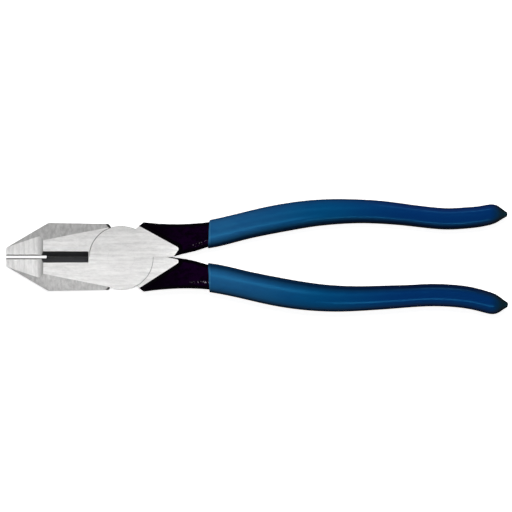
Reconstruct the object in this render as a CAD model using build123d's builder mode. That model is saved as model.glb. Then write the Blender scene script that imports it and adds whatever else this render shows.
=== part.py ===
from build123d import *
import os
from math import tan, radians

os.makedirs("parts", exist_ok=True)

# Lineman's pliers, lying flat. The pivot axis is the Z axis, the underside of the head is on Z = 0,
# the jaws point to -X and the handles to +X. All sizes are in mm. Each half is drawn with the parting
# line of the closed tool on Y = 0, and is moved by PIVOT_OFFSET at the end, so that the pivot is on Z.

# ---- Head -------------------------------------------------------------------------------------------
THICKNESS = 16.0                # the head, from its underside to its front face
MIDDLE = THICKNESS / 2          # the halves lap here, and every handle section is centred here
PIVOT_OFFSET = 0.4              # the pivot is this far from the parting line
TIP_X = -53.7                   # end of the nose
TIP_HALF_WIDTH = 4.35
TIP_ROUND = 0.8
NOSE_CORNER = (-34.1, 15.9)     # where the sloping nose meets the straight side of the jaw
JAW_REAR_OUTER = (-6.1, 15.4)  # the short slanted face at the back of each jaw
JAW_REAR_INNER = (-4.8, 13.7)
JAW_REAR_DRAFT = 0.9            # this face leans forward by so much, from the middle to the front face
GRIP_JAW_GAP = 1.2              # between the toothed faces, with the cutters closed
PARTING_GAP = 0.02              # between the two cutting edges, and between the closed tangs

# ---- Nose panel, ground below the main face, with a hollow run-out up to it --------------------------
PANEL_END_X = -36.3             # the run-out reaches the main face here
PANEL_FLAT_END_X = -39.1        # the run-out starts here
PANEL_DEPTH = 1.2               # below the main face, at the start of the run-out
PANEL_SLOPE = 3.8               # degrees; the nose gets thinner towards its tip
LIP_CHAMFER = 0.3               # along the inner edges of the nose

# ---- Bevels along the outer edges of the jaws, each set by a line on the main face's level ------------
MAIN_BEVEL = {"start": (-36.3, 7.8), "heading": 11.1, "fall": 24.0}
NOSE_BEVEL = {"start": (-39.4, 7.0), "heading": 25.0, "fall": 30.0}

# ---- Side cutters: a V recess on each face, whose bottom is the cutting edge --------------------------
KNIFE_FRONT_X = -36.45
KNIFE_REAR_X = -15.2
KNIFE_EDGE_FRONT_X = -35.1      # the cutting edges meet from here back
RECESS_HALF_WIDTH = 2.6
RECESS_FRONT_SLANT = 0.9
EDGE_LAND = 0.3                 # flat left on each cutting edge

# ---- Teeth: two crossing sets of V grooves on the gripping faces ---------------------------------------
TOOTH_PITCH = 1.5
TOOTH_DEPTH = 0.35
TOOTH_ANGLE = 35.0              # degrees from the vertical
TEETH_END_X = -38.6

# ---- Lap joint and rivet -----------------------------------------------------------------------------
DISC_RADIUS = 14.9
DISC_CHAMFER = 0.15
DISC_CLEARANCE = 0.1            # between a disc's edge and the other half's shoulders
LAP_CLEARANCE = 0.1             # between the two discs
RIVET_RADIUS = 4.5
RIVET_HEAD_RADIUS = 6.2
RIVET_HEAD_DEPTH = 1.7
RIVET_CLEARANCE = 0.04          # running fit in the front half; the rivet is tight in the back half

# ---- Tangs: the ground pad runs out into the black forged tang ----------------------------------------
TANG_FRONT_INNER = (7.0, 13.5)
TANG_FRONT_OUTER = (10.4, 16.2)
CROTCH = (23.3, PARTING_GAP / 2)  # the inner sides of the tangs part here
CROTCH_HEADING = (-1, -0.15)
PAD_NOSE_ROUND = 1.1
PAD_FALL = 4.6                  # height of the slope around the pad
PAD_SLOPE = 40.0                # degrees of that slope from the vertical
TANG_HALF_HEIGHTS = ((0.0, 6.3), (26.0, 6.0), (41.0, 4.9), (50.0, 4.7))
TANG_EDGE_ROUND = 2.4

# Each handle, as (x, distance from the parting line): the sides of its tang from the head to its end
# inside the grip, the outline of its pad, and the centre line of the handle.
UPPER_TANG = {
    "outer": ((22.4, 15.35), (33.4, 15.6), (44.4, 16.75)),
    "inner": ((26.6, 0.87), (34.5, 2.78), (44.4, 5.6)),
    "pad": ((7.4, 14.95), (27.2, 4.1), (23.6, -1.0)),
}
LOWER_TANG = {
    "outer": ((22.4, 14.95), (33.4, 14.75), (44.4, 15.65)),
    "inner": ((26.6, 0.5), (34.5, 1.93), (44.4, 4.45)),
    "pad": ((7.4, 15.1), (28.35, 1.65), (17.0, -1.0)),
}
STATION_X = (40.7, 60.4, 80.4, 98.4, 114.4, 132.4, 150.4, 162.4, 171.4, 176.8, 180.8)
UPPER_LINE = (10.7, 15.15, 19.15, 21.1, 21.2, 19.7, 17.9, 18.35, 19.55, 20.2, 20.0)
LOWER_LINE = (9.6, 13.7, 17.5, 19.35, 19.4, 18.4, 17.95, 19.2, 21.2, 22.15, 22.2)

# ---- Dipped grips, by station: width in the plane of the tool, and height -----------------------------
UPPER_WIDTHS = (13.2, 12.8, 12.95, 12.1, 11.25, 10.45, 10.2, 10.15, 9.7, 7.4, 2.0)
LOWER_WIDTHS = (13.6, 13.2, 13.35, 12.5, 11.65, 10.85, 10.6, 10.55, 10.1, 7.7, 2.0)
GRIP_HEIGHTS = (12.8, 13.0, 13.0, 12.6, 12.2, 11.8, 11.4, 11.2, 10.8, 8.2, 2.4)
GRIP_WALL = 1.2
CORE_START_X = 43.0
CORE_STATIONS = 9               # the steel ends before the rounded end of the grip
SECTION_ROUND = 0.42            # corner radius of a section, as a share of its smaller side


def jaw_blank():
    """The lower jaw at full thickness, up to the disc."""
    with BuildPart() as jaw:
        with BuildSketch():
            with BuildLine():
                Polyline(
                    (TIP_X, -GRIP_JAW_GAP / 2),
                    (TIP_X, -TIP_HALF_WIDTH),
                    (NOSE_CORNER[0], -NOSE_CORNER[1]),
                    (JAW_REAR_OUTER[0], -JAW_REAR_OUTER[1]),
                    (JAW_REAR_INNER[0], -JAW_REAR_INNER[1]),
                    (0, -PARTING_GAP / 2),
                    (KNIFE_EDGE_FRONT_X, -PARTING_GAP / 2),
                    (KNIFE_EDGE_FRONT_X, -GRIP_JAW_GAP / 2),
                    close=True,
                )
            make_face()
        extrude(amount=THICKNESS)
        fillet(jaw.edges().filter_by(Axis.Z).sort_by(Axis.X)[:2].sort_by(Axis.Y)[0], TIP_ROUND)
    return jaw.part


def rear_draft_tool():
    """What the draft takes off the short face at the back of the lower jaw, above the middle."""
    outer = Vector(JAW_REAR_OUTER[0], -JAW_REAR_OUTER[1], MIDDLE)
    inner = Vector(JAW_REAR_INNER[0], -JAW_REAR_INNER[1], MIDDLE)
    reach = 5.0
    with BuildPart() as tool:
        with BuildSketch(Plane(origin=outer, x_dir=(inner - outer).rotate(Axis.Z, -90), z_dir=outer - inner)):
            with BuildLine():
                Polyline((0, 0), (reach, 0), (reach, MIDDLE + 1), (-JAW_REAR_DRAFT, MIDDLE), close=True)
            make_face()
        extrude(amount=reach, both=True)
    return tool.part


def bevel_tool(bevel):
    """What a bevel takes off the lower jaw's front face: everything above a plane that falls outwards."""
    reach = 40.0
    fall = tan(radians(bevel["fall"]))
    x, y = bevel["start"]
    along = Vector(1, 0, 0).rotate(Axis.Z, -bevel["heading"])
    outwards = along.rotate(Axis.Z, -90)
    with BuildPart() as tool:
        with BuildSketch(Plane(origin=(x, -y, THICKNESS), x_dir=outwards, z_dir=-along)):
            with BuildLine():
                Polyline((-1 / fall, 1), (reach, -reach * fall), (reach, 1), close=True)
            make_face()
        extrude(amount=reach, both=True)
    return tool.part


def panel_tool():
    """What is ground off the nose's front face: a sloping flat with a hollow run-out."""
    drop = (PANEL_FLAT_END_X - TIP_X + 2) * tan(radians(PANEL_SLOPE))
    low = THICKNESS - PANEL_DEPTH
    with BuildPart() as tool:
        with BuildSketch(Plane.XZ):
            with BuildLine():
                flat = Line((TIP_X - 2, low - drop), (PANEL_FLAT_END_X, low))
                run_out = TangentArc(flat @ 1, (PANEL_END_X, THICKNESS), tangent=flat % 1)
                Polyline(run_out @ 1, (PANEL_END_X, THICKNESS + 2), (TIP_X - 2, THICKNESS + 2), flat @ 0)
            make_face()
        extrude(amount=2 * NOSE_CORNER[1], both=True)
    return tool.part


def lip_tool():
    """The small chamfer along the inner edge of the nose panel."""
    slope = Vector(1, 0, tan(radians(PANEL_SLOPE)))
    corner = (PANEL_FLAT_END_X, -GRIP_JAW_GAP / 2, THICKNESS - PANEL_DEPTH)
    with BuildPart() as tool:
        with BuildSketch(Plane(origin=corner, x_dir=(0, -1, 0), z_dir=slope)):
            Rectangle(2 * LIP_CHAMFER, 2 * LIP_CHAMFER, rotation=45)
        extrude(amount=30, both=True)
    return tool.part


def recess_tool():
    """The V recess of the side cutter in the lower jaw's front face."""
    bottom = MIDDLE + EDGE_LAND / 2
    rise = (THICKNESS - bottom) / RECESS_HALF_WIDTH
    beyond = RECESS_HALF_WIDTH + 1
    with BuildPart() as tool:
        with BuildSketch(Plane.YZ.offset(KNIFE_FRONT_X - RECESS_FRONT_SLANT)):
            with BuildLine():
                Polyline((1, bottom - rise), (-beyond, bottom + beyond * rise), (1, bottom + beyond * rise),
                         close=True)
            make_face()
        extrude(amount=KNIFE_REAR_X - KNIFE_FRONT_X + RECESS_FRONT_SLANT)
        with BuildSketch(Plane.XY):
            with BuildLine():
                Polyline(
                    (KNIFE_FRONT_X - RECESS_FRONT_SLANT, 1),
                    (KNIFE_FRONT_X - RECESS_FRONT_SLANT, 0),
                    (KNIFE_FRONT_X, -RECESS_HALF_WIDTH),
                    (KNIFE_FRONT_X, -2 * beyond),
                    (KNIFE_REAR_X, -2 * beyond),
                    (KNIFE_REAR_X, 1),
                    close=True,
                )
            make_face()
        extrude(amount=2 * THICKNESS, mode=Mode.INTERSECT)
    return tool.part


def tooth_planes(angle):
    """Planes across one set of grooves, each with its Y axis pointing into the lower jaw."""
    along = Vector(0, 0, 1).rotate(Axis.Y, angle)
    step = TOOTH_PITCH / abs(Vector(1, 0, 0).dot(along.rotate(Axis.Y, 90)))
    run = THICKNESS / 2 * tan(radians(abs(angle)))
    count = int((TEETH_END_X - TIP_X + 2 * run) / step)
    starts = [TIP_X - run + (i + 0.5) * step for i in range(count)]
    return [
        Plane(origin=(x, -GRIP_JAW_GAP / 2, MIDDLE), x_dir=along.cross(Vector(0, 1, 0)), z_dir=along)
        for x in starts
    ]


def teeth_tool():
    """Two crossing sets of V grooves, kept to the gripping part of the nose."""
    width = TOOTH_DEPTH * 0.9
    with BuildPart() as tool:
        for angle in (TOOTH_ANGLE, -TOOTH_ANGLE):
            with BuildSketch(*tooth_planes(angle)):
                Polygon((-width, 0), (0, -TOOTH_DEPTH), (width, 0), (0, TOOTH_DEPTH), align=None)
            extrude(amount=THICKNESS, both=True)
        with BuildSketch(Plane.XY):
            with Locations((TIP_X - 5, 0)):
                Rectangle(TEETH_END_X - TIP_X + 5, 4, align=(Align.MIN, Align.CENTER))
        extrude(amount=THICKNESS, mode=Mode.INTERSECT)
    return tool.part


def tang_outline(tang):
    """The upper tang from above, from the pivot to its end inside the grip."""
    with BuildSketch() as outline:
        with BuildLine():
            outer = Spline(TANG_FRONT_OUTER, *tang["outer"])
            end = Line(outer @ 1, tang["inner"][-1])
            inner = Spline(end @ 1, *tang["inner"][-2::-1], CROTCH, tangents=(outer % 1 * -1, CROTCH_HEADING))
            Polyline(inner @ 1, (0, CROTCH[1]), TANG_FRONT_INNER, TANG_FRONT_OUTER)
        make_face()
    return outline.sketch


def tang_blank(tang):
    """The upper tang: a forged bar with round edges, and a ground pad on each face."""
    outline = tang_outline(tang)
    with BuildPart() as pads:
        with BuildSketch(Plane.XY.offset(THICKNESS)) as pad:
            with BuildLine():
                Polyline((0, -1), (0, 13), *tang["pad"], close=True)
            make_face()
            fillet(pad.vertices().sort_by(Axis.X)[-1], PAD_NOSE_ROUND)
        extrude(amount=-PAD_FALL, taper=-PAD_SLOPE)
        mirror(about=Plane.XY.offset(MIDDLE))
        add(outline)
        extrude(amount=THICKNESS, mode=Mode.INTERSECT)
    with BuildPart() as bar:
        add(outline)
        extrude(amount=THICKNESS)
        with BuildSketch(Plane.XZ):
            with BuildLine():
                Polyline(
                    *[(x, MIDDLE + half) for x, half in TANG_HALF_HEIGHTS],
                    *[(x, MIDDLE - half) for x, half in reversed(TANG_HALF_HEIGHTS)],
                    close=True,
                )
            make_face()
        extrude(amount=2 * NOSE_CORNER[1], both=True, mode=Mode.INTERSECT)
        fillet(bar.edges().filter_by(GeomType.BSPLINE), TANG_EDGE_ROUND)
        add(pads.part)
    return bar.part


def rivet_solid(clearance=0.0):
    """The rivet, countersunk at both ends, or the hole it leaves at a given clearance."""
    shank = RIVET_RADIUS + clearance
    head = RIVET_HEAD_RADIUS + clearance
    with BuildPart() as rivet:
        with BuildSketch(Plane.XZ):
            with BuildLine():
                Polyline(
                    (0, 0),
                    (head, 0),
                    (shank, RIVET_HEAD_DEPTH),
                    (shank, THICKNESS - RIVET_HEAD_DEPTH),
                    (head, THICKNESS),
                    (0, THICKNESS),
                    close=True,
                )
            make_face()
        revolve(axis=Axis.Z)
    return rivet.part


def lap_disc():
    """The front disc, down to the lap, with a small chamfer round its face."""
    with BuildPart() as disc:
        with BuildSketch(Plane.XY.offset(THICKNESS)):
            Circle(DISC_RADIUS)
        extrude(amount=-(MIDDLE - LAP_CLEARANCE / 2))
        chamfer(disc.faces().sort_by(Axis.Z)[-1].edges(), DISC_CHAMFER)
    return disc.part


def head_half(tang, pivot_y, rivet_clearance):
    """The lower jaw, the disc on the front face and the upper tang, forged in one."""
    with BuildPart() as half:
        add(jaw_blank())
        for tool in (
            rear_draft_tool(),
            bevel_tool(MAIN_BEVEL),
            bevel_tool(NOSE_BEVEL),
            panel_tool(),
            lip_tool(),
            recess_tool(),
        ):
            add(tool, mode=Mode.SUBTRACT)
            mirror(tool, about=Plane.XY.offset(MIDDLE), mode=Mode.SUBTRACT)
        add(teeth_tool(), mode=Mode.SUBTRACT)
        add(tang_blank(tang))
        with Locations((0, pivot_y, MIDDLE + LAP_CLEARANCE / 2)):
            Cylinder(DISC_RADIUS + DISC_CLEARANCE, THICKNESS, align=(Align.CENTER, Align.CENTER, Align.MAX),
                     mode=Mode.SUBTRACT)
        with Locations((0, pivot_y, 0)):
            add(lap_disc())
            add(rivet_solid(rivet_clearance), mode=Mode.SUBTRACT)
    return half.part


def handle_planes(line, count):
    """A plane across the handle at each station, with its X axis in the plane of the tool."""
    points = [Vector(x, y, MIDDLE) for x, y in zip(STATION_X, line)]
    planes = []
    for i in range(count):
        before, after = points[max(i - 1, 0)], points[min(i + 1, len(points) - 1)]
        heading = Vector(1, 0, 0) if i == 0 else after - before
        planes.append(Plane(origin=points[i], x_dir=Vector(0, 0, 1).cross(heading), z_dir=heading))
    return planes


def handle_loft(line, widths, count, wall):
    """A smooth bar of rounded sections along a handle's centre line, a wall thinner than the grip."""
    with BuildPart() as bar:
        for plane, width, height in zip(handle_planes(line, count), widths, GRIP_HEIGHTS):
            across, deep = width - 2 * wall, height - 2 * wall
            with BuildSketch(plane):
                RectangleRounded(across, deep, SECTION_ROUND * min(across, deep))
        loft()
    return bar.part


def core(line, widths):
    """The steel inside a grip, from just beyond its mouth."""
    bar = handle_loft(line, widths, CORE_STATIONS, GRIP_WALL)
    return bar.split(Plane.YZ.offset(CORE_START_X), keep=Keep.TOP)


lower_line = [-y for y in LOWER_LINE]
to_pivot = (0, PIVOT_OFFSET, 0)

with BuildPart() as front_half:
    with Locations(to_pivot):
        add(head_half(UPPER_TANG, -PIVOT_OFFSET, RIVET_CLEARANCE))
        add(core(UPPER_LINE, UPPER_WIDTHS))

with BuildPart() as back_half:
    with Locations(to_pivot):
        add(head_half(LOWER_TANG, PIVOT_OFFSET, 0).rotate(Axis((0, 0, MIDDLE), (1, 0, 0)), 180))
        add(core(lower_line, LOWER_WIDTHS))

with BuildPart() as pivot_rivet:
    add(rivet_solid())

with BuildPart() as upper_grip:
    with Locations(to_pivot):
        add(handle_loft(UPPER_LINE, UPPER_WIDTHS, len(STATION_X), 0))
    add(front_half.part, mode=Mode.SUBTRACT)

with BuildPart() as lower_grip:
    with Locations(to_pivot):
        add(handle_loft(lower_line, LOWER_WIDTHS, len(STATION_X), 0))
    add(back_half.part, mode=Mode.SUBTRACT)

for name, piece in {
    "front_half": front_half,
    "back_half": back_half,
    "pivot_rivet": pivot_rivet,
    "upper_grip": upper_grip,
    "lower_grip": lower_grip,
}.items():
    piece.part.label = name
    export_step(piece.part, f"parts/{name}.step")
    print(name, "volume", round(piece.part.volume), "mm3", "solids", len(piece.part.solids()))
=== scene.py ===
import bpy
import bmesh
import math
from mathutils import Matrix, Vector


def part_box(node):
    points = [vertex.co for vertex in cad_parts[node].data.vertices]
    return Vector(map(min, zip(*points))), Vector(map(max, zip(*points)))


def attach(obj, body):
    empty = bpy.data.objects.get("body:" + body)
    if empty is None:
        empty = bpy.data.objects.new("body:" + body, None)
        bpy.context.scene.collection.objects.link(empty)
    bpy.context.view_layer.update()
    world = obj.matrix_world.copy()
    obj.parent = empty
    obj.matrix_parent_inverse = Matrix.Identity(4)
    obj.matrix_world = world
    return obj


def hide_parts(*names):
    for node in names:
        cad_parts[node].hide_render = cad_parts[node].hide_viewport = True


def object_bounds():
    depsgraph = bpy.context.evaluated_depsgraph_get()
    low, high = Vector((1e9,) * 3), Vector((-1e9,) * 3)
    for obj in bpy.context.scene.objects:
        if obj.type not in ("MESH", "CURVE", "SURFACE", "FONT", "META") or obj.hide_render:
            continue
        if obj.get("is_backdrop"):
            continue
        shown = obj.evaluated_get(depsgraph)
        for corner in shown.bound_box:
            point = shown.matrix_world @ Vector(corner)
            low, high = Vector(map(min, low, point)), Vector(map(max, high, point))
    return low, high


# Lineman's pliers lying flat, seen from straight above. Lengths are in metres, in the frame of the CAD
# model: the pivot axis is Z, the jaws point to -X and the handles to +X. MM turns millimetres into metres.
MM = 0.001

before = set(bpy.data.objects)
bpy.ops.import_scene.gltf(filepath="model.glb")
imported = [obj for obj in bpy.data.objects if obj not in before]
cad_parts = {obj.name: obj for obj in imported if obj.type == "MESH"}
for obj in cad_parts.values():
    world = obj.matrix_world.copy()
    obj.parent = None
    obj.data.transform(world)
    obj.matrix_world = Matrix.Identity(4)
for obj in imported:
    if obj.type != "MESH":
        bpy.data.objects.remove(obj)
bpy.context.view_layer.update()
scene = bpy.context.scene

HEAD_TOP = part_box("pivot_rivet")[1].z
HEAD_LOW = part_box("pivot_rivet")[0].z
MIDDLE = (HEAD_TOP + HEAD_LOW) / 2


def put(name, data):
    """A new object that holds data, in the scene."""
    made = bpy.data.objects.new(name, data)
    scene.collection.objects.link(made)
    return made


# ---- Shader helpers ------------------------------------------------------------------------------------

class Shader:
    """Builds one material's nodes. From math on, each call returns an output socket."""

    def __init__(self, name):
        self.material = bpy.data.materials.new(name)
        self.material.use_nodes = True
        self.tree = self.material.node_tree
        self.surface = self.tree.nodes["Principled BSDF"]
        self.place = self.node("ShaderNodeTexCoord").outputs["Object"]

    def node(self, kind, **settings):
        made = self.tree.nodes.new(kind)
        for key, value in settings.items():
            setattr(made, key, value)
        return made

    def node_after(self, kind, value):
        """A node with value as its first input."""
        made = self.node(kind)
        self.feed(made.inputs[0], value)
        return made

    def feed(self, socket, value):
        """Links an output to the socket, or sets the socket's own value."""
        if isinstance(value, bpy.types.NodeSocket):
            self.tree.links.new(value, socket)
        else:
            socket.default_value = value

    def set(self, **values):
        """Sets inputs of the surface, with _ for a space in their names."""
        for key, value in values.items():
            self.feed(self.surface.inputs[key.replace("_", " ")], value)

    def math(self, operation, a, b=0.0):
        made = self.node("ShaderNodeMath", operation=operation)
        self.feed(made.inputs[0], a)
        self.feed(made.inputs[1], b)
        return made.outputs[0]

    def ramp(self, value, low, high, to_low=0.0, to_high=1.0, smooth=True):
        """Takes low to to_low and high to to_high, and stays level beyond them."""
        made = self.node("ShaderNodeMapRange", interpolation_type="SMOOTHSTEP" if smooth else "LINEAR")
        for socket, given in zip(made.inputs, (value, low, high, to_low, to_high)):
            self.feed(socket, given)
        return made.outputs[0]

    def mix(self, factor, a, b):
        """Colour a where factor is 0, colour b where it is 1."""
        made = self.node("ShaderNodeMix", data_type="RGBA")
        self.feed(made.inputs[0], factor)
        self.feed(made.inputs[6], a)
        self.feed(made.inputs[7], b)
        return made.outputs[2]

    def axis(self, letter):
        """Where a point is along one axis of the pliers, in metres."""
        return self.node_after("ShaderNodeSeparateXYZ", self.place).outputs[letter]

    def facing(self, letter):
        """How far the surface faces along one axis, from -1 to 1."""
        normal = self.node("ShaderNodeNewGeometry").outputs["Normal"]
        return self.node_after("ShaderNodeSeparateXYZ", normal).outputs[letter]

    def window(self, value, low, high, soft):
        """1 between low and high, falling to 0 over soft on either side."""
        rise = self.ramp(value, low - soft, low)
        return self.math("MULTIPLY", rise, self.ramp(value, high, high + soft, 1.0, 0.0))

    def noise(self, stretch, detail=4.0, rough=0.55, offset=(0.0, 0.0, 0.0)):
        """Noise whose frequency along X, Y and Z is stretch, in cycles per metre."""
        spot = self.node("ShaderNodeMapping")
        self.feed(spot.inputs["Vector"], self.place)
        spot.inputs["Scale"].default_value = stretch
        spot.inputs["Location"].default_value = offset
        made = self.node("ShaderNodeTexNoise")
        self.feed(made.inputs["Vector"], spot.outputs[0])
        made.inputs["Scale"].default_value = 1.0
        made.inputs["Detail"].default_value = detail
        made.inputs["Roughness"].default_value = rough
        return made.outputs["Fac"]

    def bump(self, height, depth, strength=1.0):
        """A normal for a surface that rises by up to depth where height is 1."""
        made = self.node("ShaderNodeBump")
        made.inputs["Strength"].default_value = strength
        made.inputs["Distance"].default_value = depth
        self.feed(made.inputs["Height"], height)
        return made.outputs[0]


STEEL_WARMTH = 0.007


def steel_grey(value):
    return (value * (1 + STEEL_WARMTH), value, value * (1 - STEEL_WARMTH), 1.0)


def brushed(name, along, base, spread, roughness, shaded_span=None):
    """Ground steel with a fine grain along one axis, its tone within spread of base. Between the two X of
    the last argument it is painted darker, as painted shade."""
    s = Shader(name)

    def lined(across, lengthwise, **more):
        stretch = [across, across, across]
        stretch["XYZ".index(along)] = lengthwise
        return s.noise(stretch, **more)

    hair = lined(2600.0, 130.0, detail=3.0)
    streak = lined(760.0, 60.0, detail=4.0, offset=(3.1, 1.7, 0.4))
    fleck = lined(1100.0, 380.0, detail=3.0, rough=0.7, offset=(7.0, 2.2, 1.0))
    cloud = s.noise((90.0, 120.0, 90.0), detail=4.0, rough=0.6, offset=(0.3, 5.2, 2.0))
    shade = s.math("ADD", s.math("MULTIPLY", streak, 0.45), s.math("MULTIPLY", fleck, 0.35))
    shade = s.math("ADD", shade, s.math("MULTIPLY", cloud, 0.2))
    tone = s.ramp(shade, 0.4, 0.6, smooth=False)
    colour = s.mix(tone, steel_grey(base - spread), steel_grey(base + spread))
    if shaded_span:
        # Painted shade: darker between the two X, standing in for the shade on a sloping face.
        colour = s.mix(s.ramp(s.axis("X"), *shaded_span, 0.0, 0.8), colour, steel_grey(0.42))
    s.set(
        Base_Color=colour,
        Metallic=1.0,
        Roughness=s.ramp(hair, 0.3, 0.7, roughness - 0.05, roughness + 0.07, smooth=False),
        Normal=s.bump(s.math("ADD", hair, s.math("MULTIPLY", streak, 0.6)), 0.006 * MM),
    )
    return s.material


def black_oxide():
    """Forged steel, heat-blackened: scaly and almost black, with a violet sheen painted on the flat faces
    near the grips, and two rows of worn specks beside the grips."""
    s = Shader("black_oxide")
    scale = s.noise((900.0, 900.0, 900.0), detail=6.0, rough=0.7)
    blotch = s.noise((330.0, 420.0, 420.0), detail=5.0, rough=0.65, offset=(2.0, 0.0, 1.0))
    x, y = s.axis("X"), s.axis("Y")
    # Painted sheen: the violet goes only on faces square to Z, standing in for the flats' reflection of
    # the bright sky.
    flat = s.ramp(s.math("ABSOLUTE", s.facing("Z")), 0.86, 0.995)
    flat_sheen = s.math("MULTIPLY", flat, s.ramp(x, 15 * MM, 33 * MM))
    flat_sheen = s.math("MULTIPLY", flat_sheen, s.ramp(blotch, 0.38, 0.62, 0.05, 1.25))
    tint = s.mix(flat_sheen, (0.0003, 0.0002, 0.0004, 1), (0.0066, 0.0003, 0.0115, 1))
    fleck = s.ramp(s.noise((1300.0, 450.0, 900.0), detail=2.0, offset=(0.2, 0.9, 0.0)), 0.54, 0.6)
    slanted = s.math("SUBTRACT", y, s.math("MULTIPLY", x, 0.31))
    worn_rows = s.math("ADD", s.window(slanted, -5.1 * MM, -4.4 * MM, 0.4 * MM),
                       s.window(y, -11.5 * MM, -11.1 * MM, 0.4 * MM))
    worn = s.math("MULTIPLY", fleck, s.math("MULTIPLY", worn_rows, s.ramp(x, 31 * MM, 38 * MM)))
    s.set(
        Base_Color=s.mix(worn, tint, (0.5, 0.46, 0.52, 1)),
        Metallic=0.0,
        Roughness=s.ramp(scale, 0.3, 0.7, 0.38, 0.56),
        Specular_IOR_Level=0.09,
        Specular_Tint=(0.22, 0.03, 0.36, 1),
        Normal=s.bump(scale, 0.05 * MM, 0.6),
    )
    return s.material


def hardened_black():
    """The cutter recess: dark, hardened steel with grinding lines along the cutter. The side that faces -Y
    is painted lighter, as painted light."""
    s = Shader("hardened_black")
    lines = s.noise((90.0, 1300.0, 1300.0), detail=4.0)
    steel = s.mix(s.ramp(lines, 0.35, 0.7), (0.08, 0.08, 0.088, 1), (0.14, 0.14, 0.151, 1))
    s.set(
        # Painted light: the side facing -Y is given a paler colour, standing in for the light it catches.
        Base_Color=s.mix(s.ramp(s.facing("Y"), -0.3, 0.0, 0.65, 0.0), steel, (0.33, 0.33, 0.35, 1)),
        Metallic=0.0,
        Roughness=s.ramp(lines, 0.3, 0.7, 0.4, 0.6),
        Specular_IOR_Level=0.3,
        Normal=s.bump(lines, 0.02 * MM),
    )
    return s.material


def dipped_vinyl():
    """Dark blue plastisol: smooth and glossy, paler towards its mouth, almost black at its end, with a
    painted highlight along the lip of the mouth and painted shade where one grip faces the other."""
    s = Shader("dipped_vinyl")
    x = s.axis("X")
    cloud = s.noise((60.0, 160.0, 120.0), detail=3.0)
    peel = s.noise((420.0, 500.0, 500.0), detail=2.0)
    speck = s.noise((2600.0, 2600.0, 2600.0), detail=3.0)
    blue = s.mix(s.ramp(x, 45 * MM, 95 * MM), (0.019, 0.145, 0.37, 1), (0.0, 0.085, 0.27, 1))
    blue = s.mix(s.ramp(x, 90 * MM, 135 * MM), blue, (0.0, 0.03, 0.19, 1))
    blue = s.mix(s.ramp(cloud, 0.3, 0.7, 0.0, 0.22), blue, (0.0, 0.03, 0.2, 1))
    # Painted highlight: a paler band along the lip of the mouth, where its rounded edge catches the light.
    rim = s.window(x, 40.0 * MM, 41.3 * MM, 0.4 * MM)
    blue = s.mix(s.math("MULTIPLY", rim, 0.5), blue, (0.07, 0.27, 0.5, 1))
    # Painted shade: the sides that face the other grip are darkened.
    inwards = s.math("MULTIPLY", s.facing("Y"), s.math("SIGN", s.axis("Y")))
    blue = s.mix(s.ramp(inwards, -0.72, -0.15, 0.74, 0.0), blue, (0.0, 0.006, 0.03, 1))
    s.set(
        Base_Color=s.mix(s.ramp(x, 171 * MM, 178 * MM), blue, (0.0005, 0.009, 0.013, 1)),
        Metallic=0.0,
        Roughness=s.ramp(speck, 0.3, 0.7, 0.2, 0.27),
        Specular_IOR_Level=0.4,
        Specular_Tint=(0.06, 0.6, 1.0, 1),
        Normal=s.bump(s.math("ADD", peel, s.math("MULTIPLY", speck, 0.05)), 0.015 * MM),
    )
    return s.material


# Brushed steel takes its material's name, the grain's axis, the tone, its spread and the roughness.
FINISHES = {
    "ground": brushed("ground_face", "X", 0.80, 0.10, 0.36),
    # The nose panel: its hollow run-out, which rises to the main face, gets painted shade between these
    # two X.
    "across": brushed("ground_across", "Y", 0.85, 0.11, 0.34, shaded_span=(-39.2 * MM, -36.3 * MM)),
    # Painted shade: the bevels are the same ground steel as the faces, in a darker tone that stands in for
    # the dimmer light they reflect.
    "bevel": brushed("ground_bevel", "Y", 0.55, 0.10, 0.38),
    "machined": brushed("machined", "Z", 0.45, 0.05, 0.35),
    "rear": brushed("jaw_rear", "Y", 0.27, 0.10, 0.4),
    "black": black_oxide(),
    "recess": hardened_black(),
}
VINYL = dipped_vinyl()


# ---- Forged halves: the CAD shape with its edges broken ------------------------------------------------

PARTING = 0.4 * MM          # the Y of the closed tool's parting line
JAW_BACK = -7.4 * MM        # the short rear face of a jaw is between this X and the pivot
RECESS = (-37.5 * MM, -15.1 * MM, 2.65 * MM)   # from and to in X, half width
BITE = 1.2 * MM             # the gripping and cutting faces are this near the parting line
DISC_RADIUS = 14.9 * MM
RIVET_RADIUS = 6.2 * MM
TINY = 0.05 * MM            # the slack with which a face is placed
SQUARE_ON = 0.9999          # a face whose normal has this much of an axis is square to it
SAME_POINT = 0.0002 * MM
SAME_PLANE = math.radians(0.2)
CREASE = math.radians(20)   # a sharper edge than this has no smooth shading across it
CORNER = math.radians(35)   # and a sharper edge than this is broken
EDGE_BREAK = 0.10 * MM
SLIVER = 0.001 * MM         # once the edges are broken, points this near each other are joined
# Edges are too short to be broken in two places, each a centre and a radius: where the cutter recess runs
# into the disc, at any height, and where the slope round the back half's pad runs out in the crotch.
CRAMPED = (Vector((-DISC_RADIUS, PARTING)), 1.5 * MM)
CROTCH = (Vector((19.9 * MM, PARTING, 3.2 * MM)), 6.5 * MM)


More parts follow.
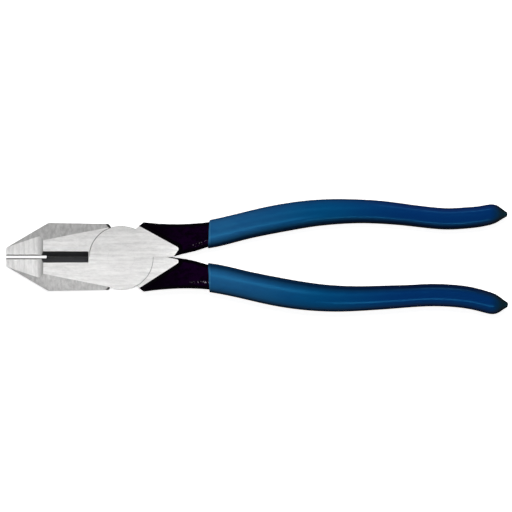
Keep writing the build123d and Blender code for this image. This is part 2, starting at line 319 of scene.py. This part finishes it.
def finish_of(face):
    """Which finish a face of a half has, from where it is and which way it faces."""
    c, n = face.calc_center_median(), face.normal
    level = abs(c.z - MIDDLE)
    side = abs(c.y - PARTING)
    if abs(n.z) > SQUARE_ON and level > HEAD_TOP - MIDDLE - TINY / 5:
        return "ground"
    on_joint = abs(n.z) < 0.8 or level < 4 * TINY     # the rim of a disc, or where the halves meet
    if math.hypot(c.x, c.y) < DISC_RADIUS + 4 * TINY and on_joint:
        return "machined"
    if c.x >= 0:
        return "machined" if side < 2 * TINY else "black"
    if RECESS[0] < c.x < RECESS[1] and side < RECESS[2] and abs(n.y) < SQUARE_ON:
        return "recess"
    if c.x > JAW_BACK and abs(n.y) < 0.99 and abs(n.z) < 0.5:
        return "rear"
    if side < BITE:
        return "machined"
    if abs(n.z) >= 0.05 and abs(n.y) < 0.1:
        return "across"
    return "bevel"


def forged_half(node, body):
    """A half of the pliers from its CAD mesh, with broken edges and a finish on each face."""
    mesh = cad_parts[node].data.copy()
    mesh.name = node + "_forging"
    mesh.materials.clear()
    for material in FINISHES.values():
        mesh.materials.append(material)
    order = list(FINISHES)
    made = bmesh.new()
    made.from_mesh(mesh)
    for edge in made.edges:
        edge.smooth = True
    bmesh.ops.remove_doubles(made, verts=made.verts, dist=SAME_POINT)
    made.normal_update()
    weight = made.edges.layers.float.new("bevel_weight_edge")
    for edge in made.edges:
        edge.smooth = edge.calc_face_angle(0.0) < CREASE
    bmesh.ops.dissolve_limit(made, angle_limit=SAME_PLANE, verts=made.verts, edges=made.edges,
                             delimit={"SHARP"})
    made.normal_update()
    for face in made.faces:
        face.smooth = True
        face.material_index = order.index(finish_of(face))
    for edge in made.edges:
        spots = [vertex.co.xy for vertex in edge.verts]
        cramped = any((spot - CRAMPED[0]).length < CRAMPED[1] for spot in spots)
        crotch = any((vertex.co - CROTCH[0]).length < CROTCH[1] for vertex in edge.verts)
        rivet_hole = all(spot.length < RIVET_RADIUS + TINY * 2 for spot in spots)
        blunt = edge.calc_face_angle(0.0) < CORNER
        edge[weight] = 0.0 if blunt or cramped or crotch or rivet_hole else 1.0
    made.to_mesh(mesh)
    made.free()
    for extra in ("custom_normal", "sharp_face"):
        if extra in mesh.attributes:
            mesh.attributes.remove(mesh.attributes[extra])
    half = put(node + "_forging", mesh)
    bevel = half.modifiers.new("broken_edges", "BEVEL")
    bevel.width = EDGE_BREAK
    bevel.segments = 2
    bevel.limit_method = "WEIGHT"
    bevel.use_clamp_overlap = False
    weld = half.modifiers.new("no_slivers", "WELD")
    weld.merge_threshold = SLIVER
    even = half.modifiers.new("flat_faces", "WEIGHTED_NORMAL")
    even.keep_sharp = True
    even.weight = 100
    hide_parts(node)
    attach(half, body)


forged_half("front_half", "front")
forged_half("back_half", "back")
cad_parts["pivot_rivet"].material_slots[0].material = FINISHES["ground"]


# ---- Dipped grips ------------------------------------------------------------------------------------

# Lengths here are in millimetres until a point is made of them.
# Stations along each handle: x, how far the centre line of the upper and of the lower grip is from the
# parting line, and the section's width, height and squareness (2 is an ellipse).
STATIONS = (
    (40.6, 10.6, 9.6, 13.3, 12.8, 2.8),
    (44.4, 11.35, 10.2, 13.2, 12.9, 2.75),
    (55.6, 14.1, 12.6, 12.75, 13.0, 2.65),
    (66.9, 16.7, 15.1, 13.0, 13.0, 2.6),
    (78.1, 18.8, 17.2, 13.0, 13.0, 2.55),
    (89.3, 20.4, 18.7, 12.5, 12.8, 2.5),
    (100.6, 21.2, 19.45, 11.85, 12.6, 2.5),
    (111.8, 21.3, 19.4, 11.15, 12.3, 2.5),
    (123.0, 20.7, 18.9, 10.7, 12.0, 2.5),
    (134.2, 19.5, 18.3, 10.15, 11.8, 2.5),
    (145.5, 18.2, 17.8, 10.1, 11.5, 2.5),
    (153.0, 17.8, 18.05, 10.05, 11.4, 2.5),
    (160.5, 18.2, 18.8, 10.0, 11.2, 2.5),
    (167.9, 19.0, 20.4, 9.75, 11.0, 2.4),
    (171.7, 19.7, 21.45, 9.6, 10.8, 2.3),
)
# Each grip's column in STATIONS, its side of the parting line, its tip's x and distance from the parting
# line, and how much wider it is than STATIONS says.
SIDES = {"upper": (1, 1, 180.2, 19.9, 0.0), "lower": (2, -1, 180.5, 22.35, 0.42)}
# The rounded end: distance from the tip, and how far its inner and its outer side are from its centre.
NIB = ((0.0, 0.0, 0.0), (0.12, 0.6, 0.6), (0.45, 1.15, 1.15), (1.0, 1.5, 1.5), (1.8, 1.95, 2.0),
       (2.9, 2.65, 2.85), (4.5, 3.6, 4.0), (6.5, 4.4, 4.75), (9.2, 4.85, 4.85))
NIB_LENGTH = NIB[-1][0]
NIB_STEPS = 40
NIB_CROWDING = 1.8          # above 1, the rings of the rounded end get closer towards the tip
RING = 96                   # points round the handle
STEP = 0.8                  # between the rings along the handle
STEPS_FROM = 0.02           # and they are counted from this far behind the mouth
SLOPE_REACH = 0.05          # the centre line's slope is taken over this much on either side
MOUTH_STRAIGHT = 14.0       # the rings turn from square to X to square to the handle over this length
MOUTH_WALL = 1.15
MOUTH_DEPTH = 4.0           # how far the inside of the mouth goes back, along the steel
LIP_ROUND = 0.45
LIP_STEPS = 6               # in each quarter turn of the lip
LIP_END = 1.2 * LIP_ROUND   # the rings along the handle start behind this
LIP_TILT = 0.7              # the mouth runs back this far from its inner to its outer side
LIP_FADE = 3.0              # and the tilt fades out over this length


def smooth_curve(xs, ys):
    """A natural cubic spline through points, as a function of x."""
    n = len(xs)
    h = [xs[i + 1] - xs[i] for i in range(n - 1)]
    low, diagonal, high, right = [0.0] * n, [1.0] * n, [0.0] * n, [0.0] * n
    for i in range(1, n - 1):
        low[i], diagonal[i], high[i] = h[i - 1], 2 * (h[i - 1] + h[i]), h[i]
        right[i] = 6 * ((ys[i + 1] - ys[i]) / h[i] - (ys[i] - ys[i - 1]) / h[i - 1])
    for i in range(1, n):
        share = low[i] / diagonal[i - 1]
        diagonal[i] -= share * high[i - 1]
        right[i] -= share * right[i - 1]
    bend = [0.0] * n
    bend[-1] = right[-1] / diagonal[-1]
    for i in range(n - 2, -1, -1):
        bend[i] = (right[i] - high[i] * bend[i + 1]) / diagonal[i]

    def at(x):
        i = max(0, min(n - 2, next((k for k in range(n - 1) if x < xs[k + 1]), n - 2)))
        a, b = xs[i + 1] - x, x - xs[i]
        return (
            (bend[i] * a ** 3 + bend[i + 1] * b ** 3) / (6 * h[i])
            + (ys[i] / h[i] - bend[i] * h[i] / 6) * a
            + (ys[i + 1] / h[i] - bend[i + 1] * h[i] / 6) * b
        )

    return at


def grip(side, node, body):
    """One dipped grip, swept along its handle from the lip at its mouth to the nib at its end."""
    column, flip, tip_x, tip_y, extra = SIDES[side]
    xs = [s[0] for s in STATIONS]
    line = smooth_curve([*xs, tip_x], [*[s[column] for s in STATIONS], tip_y])
    width = smooth_curve(xs, [s[3] for s in STATIONS])
    height = smooth_curve(xs, [s[4] for s in STATIONS])
    square = smooth_curve(xs, [s[5] for s in STATIONS])
    nib_inner, nib_outer = (
        smooth_curve([p[0] for p in NIB], [p[k] / NIB[-1][k] for p in NIB]) for k in (1, 2)
    )
    nib_start = tip_x - NIB_LENGTH
    first = xs[0]

    def section(x, shrink=0.0):
        """The ring of points round the handle at x, drawn in by shrink. The points are in metres."""
        y = line(x)
        slope = (line(x + SLOPE_REACH) - line(x - SLOPE_REACH)) / (2 * SLOPE_REACH)
        heading = Vector((1, slope * min(1.0, max(0.0, x - first) / MOUTH_STRAIGHT), 0)).normalized()
        across = Vector((-heading.y, heading.x, 0))
        inner = outer = 1.0
        if x > nib_start:
            inner, outer = nib_inner(tip_x - x), nib_outer(tip_x - x)
        full = min(x, nib_start)
        half_width = (width(full) + extra) / 2
        half_height = (inner + outer) / 2 * height(full) / 2
        power = 2.0 + (square(full) - 2.0) * inner
        ring = []
        for k in range(RING):
            turn = 2 * math.pi * k / RING
            c, s = math.cos(turn), math.sin(turn)
            reach = half_width * (outer if c > 0 else inner)
            u = math.copysign(abs(c) ** (2 / power), c) * (reach - shrink)
            v = math.copysign(abs(s) ** (2 / power), s) * (half_height - shrink)
            point = Vector((x, y, 0)) + across * u
            ring.append(Vector((point.x * MM, PARTING + point.y * flip * MM, MIDDLE + v * MM)))
        return ring

    stops = [first + STEPS_FROM]
    while stops[-1] < nib_start:
        stops.append(stops[-1] + STEP)
    stops += [tip_x - NIB_LENGTH * (1 - k / NIB_STEPS) ** NIB_CROWDING for k in range(1, NIB_STEPS)]
    # From inside the mouth, round its lip in two quarter turns, and along the handle.
    rings = [section(first + MOUTH_DEPTH, MOUTH_WALL)]
    turns = [math.pi / 2 * k / LIP_STEPS for k in range(LIP_STEPS + 1)]
    for turn in turns:
        rings.append(section(first + LIP_ROUND * (1 - math.sin(turn)),
                             MOUTH_WALL - LIP_ROUND + LIP_ROUND * math.cos(turn)))
    for turn in turns[1:]:
        rings.append(section(first + LIP_ROUND * (1 - math.cos(turn)), LIP_ROUND * (1 - math.sin(turn))))
    rings += [section(x) for x in sorted(stops) if x > first + LIP_END]

    for ring in rings:
        for k, point in enumerate(ring):
            share = max(0.0, min(1.0, 1 - (point.x / MM - first) / LIP_FADE))
            outwards = math.cos(2 * math.pi * k / RING)
            point.x += LIP_TILT * MM / 2 * outwards * share

    made = bmesh.new()
    loops = [[made.verts.new(p) for p in ring] for ring in rings]
    for near, far in zip(loops, loops[1:]):
        for k in range(RING):
            made.faces.new((near[k], near[(k + 1) % RING], far[(k + 1) % RING], far[k]))
    end = made.verts.new(Vector((tip_x * MM, PARTING + line(tip_x) * flip * MM, MIDDLE)))
    for k in range(RING):
        made.faces.new((loops[-1][k], loops[-1][(k + 1) % RING], end))
    made.faces.new(list(reversed(loops[0])))
    bmesh.ops.recalc_face_normals(made, faces=made.faces)
    for face in made.faces:
        face.smooth = True
    mesh = bpy.data.meshes.new(node + "_dip")
    made.to_mesh(mesh)
    made.free()
    mesh.materials.append(VINYL)
    dip = put(node + "_dip", mesh)
    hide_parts(node)
    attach(dip, body)


grip("upper", "upper_grip", "front")
grip("lower", "lower_grip", "back")


# ---- Stage: floor, light and camera ------------------------------------------------------------------

def floor():
    """A pale, glowing floor inside four walls, which casts no light on the pliers."""
    reach = 6.0
    corners = ((-reach, -reach), (reach, -reach), (reach, reach), (-reach, reach))
    made = bmesh.new()
    low, high = ([made.verts.new((*corner, z)) for corner in corners] for z in (0, reach))
    made.faces.new(low)
    for k in range(4):
        made.faces.new((low[k - 1], low[k], high[k], high[k - 1]))
    mesh = bpy.data.meshes.new("floor")
    made.to_mesh(mesh)
    made.free()
    plane = put("floor", mesh)
    plane.location.z = -0.1 * MM
    s = Shader("pale_floor")
    s.set(
        Base_Color=(0.9, 0.9, 0.9, 1),
        Roughness=0.9,
        Specular_IOR_Level=0.0,
        Emission_Color=(1, 1, 1, 1),
        Emission_Strength=0.96,
    )
    mesh.materials.append(s.material)
    plane.visible_diffuse = False
    plane.visible_glossy = False
    plane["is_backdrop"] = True


def sky():
    """What the steel and the gloss reflect: a dome that is brightest a third of the way up, and dark
    below. It gives no light to matte surfaces."""
    world = bpy.data.worlds.new("dome")
    scene.world = world
    world.use_nodes = True
    world.cycles_visibility.diffuse = False
    tree = world.node_tree
    where = tree.nodes.new("ShaderNodeTexCoord")
    split = tree.nodes.new("ShaderNodeSeparateXYZ")
    share = tree.nodes.new("ShaderNodeMapRange")
    share.inputs["From Min"].default_value = -1.0
    ramp = tree.nodes.new("ShaderNodeValToRGB")
    tree.links.new(where.outputs["Generated"], split.inputs[0])
    tree.links.new(split.outputs["Z"], share.inputs["Value"])
    tree.links.new(share.outputs[0], ramp.inputs[0])
    tree.links.new(ramp.outputs[0], tree.nodes["Background"].inputs[0])
    # The sine of the height above the horizon, and the brightness there.
    levels = ((-1.0, 0.03), (-0.5, 0.04), (-0.25, 0.26), (0.0, 0.38), (0.25, 0.55),
              (0.45, 0.85), (0.65, 0.72), (0.85, 0.62), (1.0, 0.66))
    for i, (spot, level) in enumerate(levels):
        stop = ramp.color_ramp.elements[i] if i < 2 else ramp.color_ramp.elements.new(spot)
        stop.position = (spot + 1) / 2
        stop.color = (level, level, level, 1)
    tree.nodes["Background"].inputs[1].default_value = 1.0


def softbox(name, place, target, width, depth, glow, lights):
    """An area light as bright as glow. It lights only the "gloss" of surfaces, or only their "body"."""
    light = bpy.data.lights.new(name, "AREA")
    light.shape = "RECTANGLE"
    light.size = width
    light.size_y = depth
    light.energy = glow * math.pi * width * depth
    lamp = put(name, light)
    lamp.location = place
    lamp.rotation_mode = "QUATERNION"
    lamp.rotation_quaternion = (Vector(target) - Vector(place)).to_track_quat("-Z", "Y")
    lamp.visible_camera = False
    lamp.visible_glossy = lights == "gloss"
    lamp.visible_diffuse = lights == "body"


def camera():
    """Straight above, on a long lens, with the pliers taking up almost all of the frame's width."""
    low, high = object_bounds()
    view = bpy.data.cameras.new("camera")
    eye = put("camera", view)
    view.lens = 250.0
    view.sensor_width = 36.0
    share_of_width = 0.97890625
    seen = (high.x - low.x) / share_of_width
    # The lens looks down a little to the jaws' side of the middle, and just above the parting line.
    centre = ((low.x + high.x) / 2 - 0.7 * MM, PARTING + 0.45 * MM)
    eye.location = (*centre, MIDDLE + seen * view.lens / view.sensor_width)
    view.clip_start, view.clip_end = 0.05, 50.0
    scene.camera = eye


floor()
sky()
HANDLES = (0.06, 0, 0)      # a point between the handles, which most lamps face
softbox("near_head", (-0.045, -0.09, 0.22), (-0.02, 0, 0), 0.06, 0.06, 9.4, "gloss")
softbox("between_grips", (0.062, 0, 0.08), (0.062, 0, 0), 0.06, 0.014, 3.6, "gloss")
softbox("lower_side", (0.155, -0.06, 0.1), (0.155, 0, MIDDLE), 0.11, 0.012, 7.0, "gloss")
softbox("upper_side", (0.17, 0.15, 0.09), (0.17, 0, MIDDLE), 0.06, 0.02, 4.0, "gloss")
softbox("overhead", (0.06, 0.27, 0.7), HANDLES, 0.25, 0.25, 15.5, "body")
for k in range(4):
    turn = math.radians(45 + 90 * k)
    place = (HANDLES[0] + 0.8 * math.cos(turn), 0.8 * math.sin(turn), 0.35)
    softbox(f"fill_{k}", place, HANDLES, 0.5, 0.4, 0.1, "body")
camera()
scene.view_settings.view_transform = "Standard"
